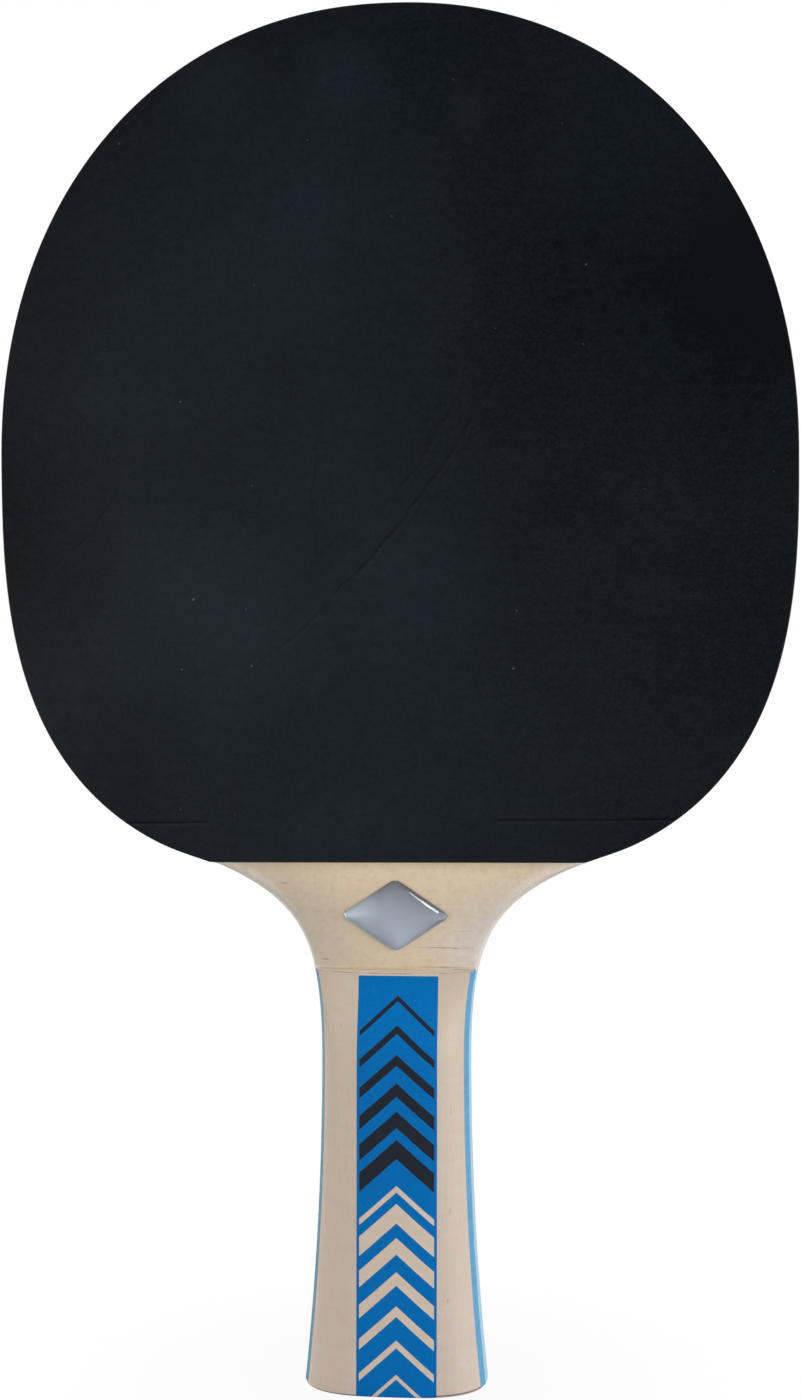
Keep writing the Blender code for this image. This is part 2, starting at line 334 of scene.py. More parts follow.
def ply_outline(y):
    """The blade's outline at a distance from its middle plane."""
    blade_face = span("front_outer_ply")[1]
    distance = abs(y)
    inset = edge_inset(distance, blade_face)
    side = []
    last = len(BLADE_SIDE) - 1
    for index, point in enumerate(BLADE_SIDE):
        tangent = BLADE_SIDE[min(index + 1, last)] - BLADE_SIDE[max(index - 1, 0)]
        outward = Vector((-tangent.y, tangent.x)).normalized()
        above_scale = ease((point.y - HANDLE_LENGTH) / NECK_FADE)
        below_rubber = ease((RUBBER_FOOT - point.y) / NECK_FADE)
        moved = point - outward * inset * above_scale * below_rubber
        if above_scale < 1:
            moved.x -= point.x * (1 - section_share(distance, point.y)) * (1 - above_scale)
        side.append(moved)
    return both_sides(side, y)


def both_sides(side, y):
    """A closed outline from its right side, set at a distance from the middle plane."""
    left = [Vector((-point.x, point.y)) for point in reversed(side) if point.x > 0]
    return [Vector((point.x, y, point.y)) for point in side + left]


def make_ply(name, node, start, end, material):
    layers = [ply_outline(mix(start, end, step / PLY_STEPS)) for step in range(PLY_STEPS + 1)]
    make_piece(stack_layers(layers), name, material, node)


def make_blade():
    core_face = span("blade_core")[1]
    make_ply("core_ply", "blade_core", -core_face, core_face, core_wood())
    cross = cross_wood()
    face = face_wood()
    for side, sign in SIDES.items():
        inner = span(f"{side}_inner_ply")
        outer = span(f"{side}_outer_ply")
        make_ply(f"{side}_cross_ply", f"{side}_inner_ply", sign * inner[0], sign * inner[1], cross)
        make_ply(f"{side}_face_ply", f"{side}_outer_ply", sign * outer[0], sign * outer[1], face)


# Rubbers

def foot_trim(z):
    """How far the lower corners of the rubber are trimmed at a height."""
    return FOOT_TRIM * max(0.0, 1 - (z - RUBBER_FOOT) / FOOT_TRIM_REACH) ** 2


def turned(x, y, z):
    """A place on the rubber, which is glued on slightly askew about the middle of the head."""
    return Vector((x - SHEET_TURN * (z - WIDEST_LEVEL), y, z + SHEET_TURN * x))


def rubber_outline(y, foot):
    side = [Vector((point.x - foot_trim(point.y), point.y)) for point in BLADE_SIDE if point.y > foot]
    side.append(Vector((half_width(foot) - foot_trim(foot), foot)))
    return [turned(*place) for place in both_sides(side, y)]


def round_rim(bm, end):
    """Rounds the outer rim of a sheet's end face."""
    bmesh.ops.bevel(
        bm, geom=list(end.edges), offset=RIM_ROUND, affect="EDGES", segments=RIM_STEPS,
        profile=0.5, material=-1, clamp_overlap=True,
    )


def score_line(bm, y, gap):
    """Presses the scored line into the sheet's face, from the rim to the gap on both sides."""
    half = LINE_WIDTH / 2
    flat = [face for face in bm.faces if all(abs(vert.co.y - y) < 1e-6 for vert in face.verts)]
    for level in (LINE_LEVEL - half, LINE_LEVEL + half):
        flat = split_faces(bm, flat, Vector((0, y, level)), Vector((-LINE_TILT, 0, 1)))
    for x in gap:
        flat = split_faces(bm, flat, Vector((x, y, LINE_LEVEL)), Vector((1, 0, 0)))
    line = []
    for face in flat:
        middle = face.calc_center_median()
        off = middle.z - LINE_TILT * middle.x - LINE_LEVEL
        if abs(off) < half and not gap[0] < middle.x < gap[1]:
            line.append(face)
    bmesh.ops.inset_region(bm, faces=line, thickness=LINE_WALL, depth=-LINE_DEPTH, use_even_offset=True)


def split_faces(bm, faces, place, normal):
    """Splits flat faces along a plane and returns all the faces that they become."""
    geom = set(faces)
    for face in faces:
        geom.update(face.edges)
        geom.update(face.verts)
    split = bmesh.ops.bisect_plane(bm, geom=list(geom), dist=1e-7, plane_co=place, plane_no=normal)
    return [item for item in split["geom"] if isinstance(item, bmesh.types.BMFace)]


def within_rim(x, z, share):
    """Whether a place lies within the rim, drawn in towards the widest level by a share."""
    level = WIDEST_LEVEL + (z - WIDEST_LEVEL) / share
    if not RUBBER_FOOT < level < HEAD_TOP:
        return False
    return abs(x) / share < half_width(level) - foot_trim(level)


def pip_places():
    """Places of the pips near the rim, on a staggered grid."""
    row_step = PIP_PITCH * math.sqrt(3) / 2
    rows = int((HEAD_TOP - RUBBER_FOOT) / row_step)
    columns = int(HEAD_WIDTH / PIP_PITCH / 2) + 1
    places = []
    for row in range(rows + 1):
        z = RUBBER_FOOT + PIP_RADIUS * PIP_FLARE + row * row_step
        for column in range(-columns, columns + 1):
            x = (column + 0.5 * (row % 2)) * PIP_PITCH
            if within_rim(x, z, PIP_EDGE) and not within_rim(x, z, PIP_RING):
                places.append((x, z))
    return places


def add_pips(bm, foot, head):
    """Adds the pips that show at the rim, from their foot on the sponge to the skin."""
    for x, z in pip_places():
        turn = Matrix.Rotation(math.copysign(math.pi / 2, foot - head), 4, "X")
        place = Matrix.Translation(turned(x, (foot + head) / 2, z))
        bmesh.ops.create_cone(
            bm, cap_ends=True, segments=PIP_SIDES, radius1=PIP_RADIUS, radius2=PIP_RADIUS * PIP_FLARE,
            depth=abs(head - foot), matrix=place @ turn,
        )


def make_sheet(side, sign, material):
    back, face = span(f"{side}_topsheet")
    skin_back = face - SKIN
    bm = bmesh.new()
    start = start_face(bm, rubber_outline(sign * skin_back, RUBBER_FOOT))
    end = grow_face(bm, start, rubber_outline(sign * face, RUBBER_FOOT), keep=True)
    bmesh.ops.recalc_face_normals(bm, faces=bm.faces)
    round_rim(bm, end)
    score_line(bm, sign * face, LINE_GAP[side])
    add_pips(bm, sign * back, sign * skin_back)
    make_piece(bm, f"{side}_rubber_sheet", material, f"{side}_topsheet")


def make_rubbers():
    foam = sponge_foam()
    sheets = {"front": black_rubber(), "back": red_rubber()}
    for side, sign in SIDES.items():
        make_sheet(side, sign, sheets[side])
        back, face = span(f"{side}_sponge")
        layers = [rubber_outline(sign * y, RUBBER_FOOT - FOAM_LONGER) for y in (back, face)]
        make_piece(stack_layers(layers), f"{side}_foam", foam, f"{side}_sponge")


# Handle

def ramp(z, seat):
    """Share of the scale's height that is left where it runs out at its top."""
    full = half_thickness(z) - seat
    start = HANDLE_LENGTH - RAMP_LENGTH
    return mix(1.0, SCALE_LIP / full, ease((z - start) / RAMP_LENGTH))


def scale_surface(x, z):
    """Distance of the scale's outer surface from the middle plane."""
    seat = span("front_handle_scale")[0]
    share = (1 - (abs(x) / half_width(z)) ** SECTION_ACROSS) ** (1 / SECTION_THROUGH)
    return seat + (half_thickness(z) * share - seat) * ramp(z, seat)


def scale_flank(edge, z):
    """Section points from the scale's seat up to the groove's edge, on the edge's side."""
    seat = span("front_handle_scale")[0]
    seat_angle = math.asin((seat / half_thickness(z)) ** (SECTION_THROUGH / 2))
    edge_angle = math.acos((abs(edge) / half_width(z)) ** (SECTION_ACROSS / 2))
    points = []
    for step in range(FLANK_STEPS + 1):
        angle = mix(seat_angle, edge_angle, step / FLANK_STEPS)
        x = half_width(z) * math.cos(angle) ** (2 / SECTION_ACROSS)
        y = scale_surface(x, z) if step else seat
        points.append((math.copysign(x, edge), y))
    return points


def across_inlay(gap):
    """Places across the inlay from right to left, widened by a gap on both sides."""
    half_wide = INLAY_WIDTH / 2 + gap
    right = INLAY_OFFSET + half_wide
    left = INLAY_OFFSET - half_wide
    return [mix(right, left, step / INLAY_STEPS) for step in range(INLAY_STEPS + 1)]


def place_layer(outline, z, sign):
    """A handle outline at a height; at the handle's top it rises in an arc to both sides."""
    arc = TOP_ARC if z == HANDLE_LENGTH else 0.0
    return [Vector((x, sign * y, z + arc * (x / half_width(z)) ** 2)) for x, y in outline]


def scale_layer(z, sign):
    groove = across_inlay(INLAY_GAP)
    floor = [(x, scale_surface(x, z) - INLAY_THICKNESS - INLAY_GAP) for x in groove]
    outline = scale_flank(groove[0], z) + floor + scale_flank(groove[-1], z)[::-1]
    return place_layer(outline, z, sign)


def inlay_layer(z, sign):
    outer = [(x, scale_surface(x, z)) for x in across_inlay(0.0)]
    inner = [(x, y - INLAY_THICKNESS) for x, y in reversed(outer)]
    return place_layer(outer + inner, z, sign)


def across_liner(y, z):
    """Places across a face of the liner from right to left."""
    right = half_width(z) * section_share(y, z)
    return [mix(right, -right, step / LINER_STEPS) for step in range(LINER_STEPS + 1)]


def liner_layer(z, sign):
    back, face = span("front_handle_liner")
    outer = [(x, face) for x in across_liner(face, z)]
    inner = [(x, back) for x in reversed(across_liner(back, z))]
    return place_layer(outer + inner, z, sign)


def make_handle():
    levels = [HANDLE_LENGTH] + [point.y for point in BLADE_SIDE if point.y < HANDLE_LENGTH]
    kinds = [
        ("blue_layer", "handle_liner", liner_layer, dyed_veneer()),
        ("grip_half", "handle_scale", scale_layer, scale_wood()),
        ("printed_strip", "handle_inlay", inlay_layer, printed_veneer()),
    ]
    for side, sign in SIDES.items():
        for name, node, layer, material in kinds:
            bm = stack_layers([layer(z, sign) for z in levels])
            make_piece(bm, f"{side}_{name}", material, f"{side}_{node}")


# Badge

def rounded_corner(before, corner, after, radius):
    """Points of an arc that rounds a corner of an outline."""
    to_before = (before - corner).normalized()
    to_after = (after - corner).normalized()
    half_angle = to_before.angle(to_after) / 2
    centre = corner + (to_before + to_after).normalized() * radius / math.sin(half_angle)
    start = corner + to_before * radius / math.tan(half_angle) - centre
    end = corner + to_after * radius / math.tan(half_angle) - centre
    points = []
    for step in range(CORNER_STEPS + 1):
        points.append(centre + start.lerp(end, step / CORNER_STEPS).normalized() * radius)
    return points


def between(start, end):
    """Points spaced along a straight stretch, without its ends."""
    return [start.lerp(end, step / STRAIGHT_STEPS) for step in range(1, STRAIGHT_STEPS)]


def badge_outline():
    right = Vector((BADGE_WIDTH / 2, 0))
    top = Vector((0, BADGE_HEIGHT / 2))
    corners = (right, top, -right, -top)
    radii = (BADGE_SIDE_RADIUS, BADGE_END_RADIUS) * 2
    points = []
    for index, radius in enumerate(radii):
        after = corners[(index + 1) % len(corners)]
        rounded = rounded_corner(corners[index - 1], corners[index], after, radius)
        if points:
            points += between(points[-1], rounded[0])
        points += rounded
    return points + between(points[-1], points[0])


def badge_layer(y, share):
    return [Vector((point.x * share, -y, BADGE_LEVEL + point.y * share)) for point in badge_outline()]


def make_badge():
    plate_back, plate_face = span("badge_plate")
    plate = stack_layers([badge_layer(y, FOIL_INSET) for y in (plate_back, plate_face)])
    make_piece(plate, "badge_foil", badge_foil(), "badge_plate")
    foot = plate_face - LENS_SINK
    layers = []
    for step in range(DOME_STEPS):
        share = math.cos(math.pi / 2 * step / DOME_STEPS)
        rise = (1 - share ** LENS_FLATNESS) ** (1 / LENS_RIM)
        layers.append(badge_layer(foot + LENS_HEIGHT * rise, share))
    make_piece(stack_layers(layers), "badge_lens", badge_resin(), "badge_dome")


# Shader nodes

def set_inputs(tree, node, inputs):
    """Sets inputs of a node; each takes a value or another node's output."""
    for name, value in inputs.items():
        if isinstance(value, bpy.types.NodeSocket):
            tree.links.new(value, node.inputs[name])
        else:
            node.inputs[name].default_value = value


def add_node(tree, kind, inputs=None, **settings):
    made = tree.nodes.new("ShaderNode" + kind)
    for name, value in settings.items():
        setattr(made, name, value)
    set_inputs(tree, made, inputs or {})
    return made


def calculate(tree, operation, *values):
    """The output of a math node."""
    return add_node(tree, "Math", dict(enumerate(values)), operation=operation).outputs[0]


def vector_math(tree, operation, *values):
    """The outputs of a vector math node."""
    return add_node(tree, "VectorMath", dict(enumerate(values)), operation=operation).outputs


def times(tree, product, *others):
    """The product of two or more values."""
    for value in others:
        product = calculate(tree, "MULTIPLY", product, value)
    return product


def remap(tree, value, low, high, start=0.0, end=1.0, smooth=False):
    """A value mapped from one range to another, held at its ends."""
    kind = "SMOOTHSTEP" if smooth else "LINEAR"
    inputs = {"Value": value, "From Min": low, "From Max": high, "To Min": start, "To Max": end}
    return add_node(tree, "MapRange", inputs, interpolation_type=kind).outputs["Result"]


def blend(tree, share, first, second, kind="MIX"):
    """Two colours mixed by a share; the node keeps its colour sockets behind those for other data."""
    inputs = {0: share, 6: first, 7: second}
    return add_node(tree, "Mix", inputs, data_type="RGBA", blend_type=kind).outputs[2]


def fade_between(tree, share, start, end):
    """A value that goes from a start to an end by a share."""
    change = times(tree, calculate(tree, "SUBTRACT", end, start), share)
    return calculate(tree, "ADD", start, change)


def parts_of(tree, place):
    """The X, Y and Z of a place."""
    return add_node(tree, "SeparateXYZ", {"Vector": place}).outputs


def away_from(tree, parts, centre):
    """How far a place lies from a centre, given by its X and Z, as seen from the front."""
    flat = add_node(tree, "CombineXYZ", {"X": parts["X"], "Z": parts["Z"]}).outputs["Vector"]
    return vector_math(tree, "DISTANCE", flat, (centre[0], 0.0, centre[1]))["Value"]


def tilted_level(tree, parts, tilt):
    """Height, less the rise of a tilted line towards the right."""
    return calculate(tree, "SUBTRACT", parts["Z"], times(tree, parts["X"], tilt))


def noise(tree, vector, cells, detail, roughness=0.5):
    """Noise with its own number of cells for each metre along each axis."""
    stretched = vector_math(tree, "MULTIPLY", vector, cells)["Vector"]
    inputs = {"Vector": stretched, "Scale": 1.0, "Detail": detail, "Roughness": roughness}
    return add_node(tree, "TexNoise", inputs).outputs["Fac"]


def new_material(name):
    """A material with its node tree, its main shader and its object coordinates."""
    material = bpy.data.materials.new(name)
    material.use_nodes = True
    tree = material.node_tree
    shader = tree.nodes["Principled BSDF"]
    place = add_node(tree, "TexCoord").outputs["Object"]
    return material, tree, shader, place


def start_group(group_name, inputs, outputs):
    """An empty node group with named sockets, its inputs and its end node."""
    group = bpy.data.node_groups.new(group_name, "ShaderNodeTree")
    for way, sockets in (("INPUT", inputs), ("OUTPUT", outputs)):
        for name, kind in sockets:
            group.interface.new_socket(name, in_out=way, socket_type="NodeSocket" + kind)
    given = group.nodes.new("NodeGroupInput").outputs
    result = group.nodes.new("NodeGroupOutput")
    return group, given, result


def use_group(tree, group, inputs):
    return add_node(tree, "Group", inputs, node_tree=group).outputs


def bump(tree, shader, height, strength, depth):
    made = add_node(tree, "Bump", {"Height": height, "Strength": strength, "Distance": depth})
    set_inputs(tree, shader, {"Normal": made.outputs["Normal"]})


# Shared effects

# Most of a noise lies between these values
NOISE_LOW = 0.3
NOISE_HIGH = 0.7

PORE_START = 0.66
PORE_FULL = 0.74
PORE_COLOUR = (120, 92, 66)


def add_noises(group, noises):
    """The sum of noises, each mapped to its own range."""
    total = 0.0
    for value, start, end in noises:
        total = calculate(group, "ADD", total, remap(group, value, NOISE_LOW, NOISE_HIGH, start, end))
    return total


def wood_grain_group():
    """Fine straight grain along X, with faint bands, mottling and short dark pores."""
    inputs = [("Vector", "Vector"), ("Pale", "Color"), ("Deep", "Color"), ("Pores", "Float")]
    outputs = [("Color", "Color"), ("Height", "Float")]
    group, given, result = start_group("wood_grain", inputs, outputs)
    fine = noise(group, given["Vector"], (70, 3200, 3200), 3.0, 0.6)
    bands = noise(group, given["Vector"], (9, 160, 160), 2.0)
    mottle = noise(group, given["Vector"], (700, 160, 160), 2.0)
    pores = noise(group, given["Vector"], (260, 5200, 5200), 1.0)
    figure = add_noises(group, [(fine, 0.0, 0.3), (bands, 0.0, 0.3), (mottle, 0.0, 0.4)])
    colour = blend(group, figure, given["Pale"], given["Deep"])
    pored = remap(group, pores, PORE_START, PORE_FULL)
    dark = times(group, pored, given["Pores"])
    colour = blend(group, dark, colour, shade(*PORE_COLOUR))
    height = calculate(group, "SUBTRACT", fine, dark)
    set_inputs(group, result, {"Color": colour, "Height": height})
    return group


SPECK_RAGGED = 0.0004
SPECK_CLEAN_SHARE = 0.35
SPECK_SIZE = 0.020
SPECK_FAINTNESS = 3.0


def dust_group():
    """Sparse tiny specks on the paddle's faces, of mixed size and strength and slightly ragged."""
    inputs = [("Vector", "Vector"), ("Cells", "Float")]
    group, given, result = start_group("dust", inputs, [("Mask", "Float")])
    parts = parts_of(group, given["Vector"])
    ragged = noise(group, given["Vector"], (2200, 2200, 2200), 1.0)
    ragged = times(group, ragged, SPECK_RAGGED)
    across = calculate(group, "ADD", parts["X"], ragged)
    flat = add_node(group, "CombineXYZ", {"X": across, "Y": parts["Z"]}).outputs["Vector"]
    inputs = {"Vector": flat, "Scale": given["Cells"]}
    cells = add_node(group, "TexVoronoi", inputs, voronoi_dimensions="2D")
    pick = add_node(group, "SeparateColor", {"Color": cells.outputs["Color"]}).outputs
    size = remap(group, pick["Red"], SPECK_CLEAN_SHARE, 1.0, 0.0, SPECK_SIZE)
    mask = calculate(group, "LESS_THAN", cells.outputs["Distance"], size)
    strength = calculate(group, "POWER", pick["Green"], SPECK_FAINTNESS)
    mask = times(group, mask, strength)
    set_inputs(group, result, {"Mask": mask})
    return group


WIPE_START = 0.35
WIPE_FULL = 0.75
WIPE_SHARE = 0.05
RIPPLE_SHARE = 0.4


def rubber_skin_group():
    """Haze, fine moulded texture and faint cross ripples of a grippy rubber skin."""
    outputs = [("Haze", "Float"), ("Height", "Float")]
    group, given, result = start_group("rubber_skin", [("Vector", "Vector")], outputs)
    cloud = noise(group, given["Vector"], (26, 26, 22), 4.0, 0.55)
    wipe = noise(group, given["Vector"], (60, 60, 900), 3.0)
    weave = noise(group, given["Vector"], (2300, 2300, 2300), 2.0)
    mottle = noise(group, given["Vector"], (420, 420, 700), 5.0, 0.7)
    ripple = noise(group, given["Vector"], (30, 30, 900), 1.0)
    haze = add_noises(group, [(cloud, 0.0, 0.26), (weave, -0.04, 0.21), (mottle, -0.09, 0.09)])
    haze = calculate(group, "ADD", haze, remap(group, wipe, WIPE_START, WIPE_FULL, 0.0, WIPE_SHARE))
    height = fade_between(group, RIPPLE_SHARE, weave, ripple)
    set_inputs(group, result, {"Haze": haze, "Height": height})
    return group


# Materials

STREAK_CORE = 0.7
STREAK_END = 1.5
WOOD_SPECULAR = 0.35


def streak_mask(tree, place, streaks):
    """Thin dark streaks in the wood, each a slim ellipse given by its centre and half sizes."""
    mask = 0.0
    wobble = noise(tree, place, (500, 500, 500), 2.0)
    for centre, half in streaks:
        away = vector_math(tree, "SUBTRACT", place, (centre[0], 0.0, centre[1]))["Vector"]
        scaled = vector_math(tree, "MULTIPLY", away, (1 / half[0], 0.0, 1 / half[1]))["Vector"]
        length = vector_math(tree, "LENGTH", scaled)["Value"]
        rough = calculate(tree, "ADD", length, wobble)
        mask = calculate(tree, "MAXIMUM", mask, remap(tree, rough, STREAK_CORE, STREAK_END, 1.0, 0.0))
    return mask


def grained(name, pale, deep, pores, along_length, roughness):
    """A wood material with its grain across the paddle or along its length, still to be coloured."""
    material, tree, shader, place = new_material(name)
    turn = (0.0, math.pi / 2, 0.0) if along_length else (0.0, 0.0, 0.0)
    along = add_node(tree, "Mapping", {"Vector": place, "Rotation": turn}).outputs["Vector"]
    grain = use_group(tree, WOOD_GRAIN, {"Vector": along, "Pale": pale, "Deep": deep, "Pores": pores})
    set_inputs(tree, shader, {"Roughness": roughness, "Specular IOR Level": WOOD_SPECULAR})
    bump(tree, shader, grain["Height"], strength=0.15, depth=0.00005)
    return material, tree, shader, place, grain


# Light blue stain on the blade's edge along the handle
EDGE_STAIN = 0.85
EDGE_STAIN_REACH = 0.002
EDGE_STAIN_ASIDE = WAIST_WIDTH / 2 - EDGE_STAIN_REACH


def stain_edge(tree, place, colour):
    """Tints the wood at the sides of the handle."""
    parts = parts_of(tree, place)
    in_handle = calculate(tree, "LESS_THAN", parts["Z"], HANDLE_LENGTH)
    at_side = calculate(tree, "GREATER_THAN", calculate(tree, "ABSOLUTE", parts["X"]), EDGE_STAIN_ASIDE)
    share = times(tree, in_handle, at_side, EDGE_STAIN)
    return blend(tree, share, colour, shade(156, 198, 224))


# Each edge of the neck is close to an arc
NECK_ARC_ASIDE = 0.0401
NECK_ARC_LEVEL = 0.0753
NECK_ARC_RADIUS = 0.0250

# Painted shade and painted reflection along the neck's sides, and painted reflection at its very edges:
# side, reach, top level and tone
TONE_FADE = 0.0105
TONE_TOP = RUBBER_FOOT + TONE_FADE
COOL_TOP = 0.0965
NECK_SIDE_SHADE_AND_SHEEN = [
    (-1, 0.0160, TONE_TOP, (0.80, 0.83, 0.88, 1.0)),
    (1, 0.0120, TONE_TOP, (0.91, 0.91, 0.94, 1.0)),
    (1, 0.0120, COOL_TOP, (1.04, 1.14, 1.36, 1.0)),
    (1, 0.0020, COOL_TOP, (0.91, 0.89, 0.82, 1.0)),
]
NECK_EDGE_SHEEN = [
    (-1, 0.0013, TONE_TOP, (1.06, 1.18, 1.36, 1.0)),
    (1, 0.0016, TONE_TOP, (1.06, 1.14, 1.30, 1.0)),
]


def paint_neck_shade_and_sheen(tree, place, colour, tones):
    """Paints shade and reflection onto the wood beside the arcs of the neck."""
    parts = parts_of(tree, place)
    for sign, reach, top, tone in tones:
        away = away_from(tree, parts, (sign * NECK_ARC_ASIDE, NECK_ARC_LEVEL))
        share = remap(tree, away, NECK_ARC_RADIUS, NECK_ARC_RADIUS + reach, 1.0, 0.0, smooth=True)
        low = remap(tree, parts["Z"], top - TONE_FADE, top, 1.0, 0.0)
        share = times(tree, share, low)
        colour = blend(tree, share, colour, tone, "MULTIPLY")
    return colour


def ply_wood(name, pale, deep, along_length):
    material, tree, shader, place, grain = grained(
        name, pale, deep, pores=0.4, along_length=along_length, roughness=0.65,
    )
    # Painted reflection at the neck's very edges
    colour = paint_neck_shade_and_sheen(tree, place, grain["Color"], NECK_EDGE_SHEEN)
    set_inputs(tree, shader, {"Base Color": stain_edge(tree, place, colour)})
    return material


def core_wood():
    return ply_wood("core_wood", shade(226, 215, 196), shade(212, 197, 172), along_length=True)


def cross_wood():
    return ply_wood("cross_wood", shade(220, 205, 182), shade(207, 189, 162), along_length=False)


# Streaks in the neck's wood: centre and half sizes of each
NECK_STREAKS = [
    ((0.0082, 0.0830), (0.0068, 0.00020)),
    ((0.0116, 0.0829), (0.0018, 0.00022)),
    ((0.0088, 0.0793), (0.0080, 0.00020)),
    ((0.0131, 0.0789), (0.0036, 0.00018)),
    ((-0.0212, 0.0950), (0.0009, 0.00016)),
    ((-0.0130, 0.0806), (0.0012, 0.00020)),
]
NECK_STREAK_SHADE = 0.6

# Warm mottling of the neck's wood
WARM_START = 0.45
WARM_SHARE = 0.25

# Painted light below the rubber's foot, just above the handle and in the corner where the handle's top
# meets the blade, lifting the shade there
FILL_LIGHT_REACH = 0.010
STEP_REACH = 0.0012
STEP_SHARE = 0.7
FILL_LIGHT_TONE = (1.30, 1.28, 1.25, 1.0)
CORNER_FILL_REACH = 0.0005
CORNER_FILL_LIGHT = (1.24, 1.24, 1.22, 1.0)


def below_arc(tree, place):
    """Height, less the rise of the handle's top towards its sides."""
    parts = parts_of(tree, place)
    across = calculate(tree, "DIVIDE", parts["X"], half_width(HANDLE_LENGTH))
    rise = times(tree, across, across, TOP_ARC)
    return calculate(tree, "SUBTRACT", parts["Z"], rise)


def face_wood():
    pale = shade(219, 203, 180)
    deep = shade(210, 191, 165)
    material, tree, shader, place, grain = grained(
        "face_wood", pale, deep, pores=0.12, along_length=False, roughness=0.55,
    )
    streaks = streak_mask(tree, place, NECK_STREAKS)
    share = times(tree, streaks, NECK_STREAK_SHADE)
    colour = blend(tree, share, grain["Color"], shade(140, 98, 74))
    warm = noise(tree, place, (1100, 1100, 1100), 2.0)
    warmth = remap(tree, warm, WARM_START, NOISE_HIGH, 0.0, WARM_SHARE)
    colour = blend(tree, warmth, colour, shade(206, 158, 114))
    # Painted shade and painted reflection along the neck's sides and at its very edges
    colour = paint_neck_shade_and_sheen(tree, place, colour, NECK_SIDE_SHADE_AND_SHEEN)
    colour = paint_neck_shade_and_sheen(tree, place, colour, NECK_EDGE_SHEEN)
    level = parts_of(tree, place)["Z"]
    below_rubber = remap(tree, level, RUBBER_FOOT - FILL_LIGHT_REACH, RUBBER_FOOT)
    above_handle = remap(tree, level, HANDLE_LENGTH, HANDLE_LENGTH + STEP_REACH, STEP_SHARE, 0.0)
    # Painted light that lifts the shade below the rubber and above the handle's top
    painted_fill = calculate(tree, "MAXIMUM", below_rubber, above_handle)
    colour = blend(tree, painted_fill, colour, FILL_LIGHT_TONE, "MULTIPLY")
    corner = remap(tree, below_arc(tree, place), HANDLE_LENGTH, HANDLE_LENGTH + CORNER_FILL_REACH, 1.0, 0.0)
    colour = blend(tree, corner, colour, CORNER_FILL_LIGHT, "MULTIPLY")
    colour = stain_edge(tree, place, colour)
    set_inputs(tree, shader, {"Base Color": colour})
    return material


# Streaks in the scales' wood: centre and half sizes of each
SCALE_STREAKS = [
    ((0.0109, 0.0532), (0.00012, 0.0018)),
    ((0.0108, 0.0347), (0.00012, 0.0011)),
    ((0.0104, 0.0179), (0.00016, 0.0008)),
    ((-0.0098, 0.0688), (0.00010, 0.0007)),
]
SCALE_STREAK_SHADE = 0.5

# Top of the handle: end faces painted pale as painted light, and a thin broken line of painted shadow along
# their front rim
END_SKIN = 0.00002
RIM_LINE = 0.00020
RIM_BREAKS = (0.4, 0.6)
RIM_SHARES = (0.15, 0.7)
LIT_END_PAINT = shade(216, 199, 177)
RIM_SHADOW_PAINT = shade(150, 124, 102)

# Butt of the handle: a thin dark line of painted shade, slightly askew, above a pale lip of painted light
BUTT_LINE = 0.00030
BUTT_LINE_WIDTH = 0.00020
BUTT_LINE_TILT = 0.012
BUTT_LINE_SHADE = 0.85

# The scales' wood is paler and cooler towards the butt
BUTT_TONE = (1.05, 1.05, 1.14, 1.0)


def end_colour(tree, place, colour, end, rim):
    """Colours the end face on top of a handle piece pale as painted light, and the broken line along its
    front rim, which is painted shadow on the scales and the inlay.
    """
    level = below_arc(tree, place)
    breaks = remap(tree, noise(tree, place, (500, 500, 500), 2.0), *RIM_BREAKS, *RIM_SHARES)
    line = calculate(tree, "GREATER_THAN", level, HANDLE_LENGTH - RIM_LINE)
    colour = blend(tree, times(tree, line, breaks), colour, rim)
    face = calculate(tree, "GREATER_THAN", level, HANDLE_LENGTH - END_SKIN)
    return blend(tree, face, colour, end)


def paint_butt_light_and_shade(tree, place, colour):
    """Paints light on the lip at the butt, and a line of shade above it."""
    parts = parts_of(tree, place)
    level = tilted_level(tree, parts, BUTT_LINE_TILT)
    lip = calculate(tree, "LESS_THAN", level, BUTT_LINE)
    colour = blend(tree, lip, colour, shade(236, 222, 206))
    off = calculate(tree, "ABSOLUTE", calculate(tree, "SUBTRACT", level, BUTT_LINE))
    line = remap(tree, off, BUTT_LINE_WIDTH / 2, BUTT_LINE_WIDTH, BUTT_LINE_SHADE, 0.0)
    return blend(tree, line, colour, shade(92, 78, 70))


def scale_wood():
    pale = shade(205, 189, 171)
    deep = shade(197, 180, 160)
    material, tree, shader, place, grain = grained(
        "scale_wood", pale, deep, pores=0.2, along_length=True, roughness=0.5,
    )
    streaks = streak_mask(tree, place, SCALE_STREAKS)
    share = times(tree, streaks, SCALE_STREAK_SHADE)
    colour = blend(tree, share, grain["Color"], shade(120, 100, 84))
    level = parts_of(tree, place)["Z"]
    low = remap(tree, level, 0.0, HANDLE_LENGTH, 1.0, 0.0)
    colour = blend(tree, low, colour, BUTT_TONE, "MULTIPLY")
    # Painted light and painted shade along the butt
    colour = paint_butt_light_and_shade(tree, place, colour)
    # Painted light on the end face and painted shadow along its rim
    colour = end_colour(tree, place, colour, LIT_END_PAINT, RIM_SHADOW_PAINT)
    set_inputs(tree, shader, {"Base Color": colour})
    return material


# Painted shade: the blue layer is darker on its left side, where less light falls
LEFT_SIDE_PAINTED_SHADE = (0.66, 0.68, 0.64, 1.0)


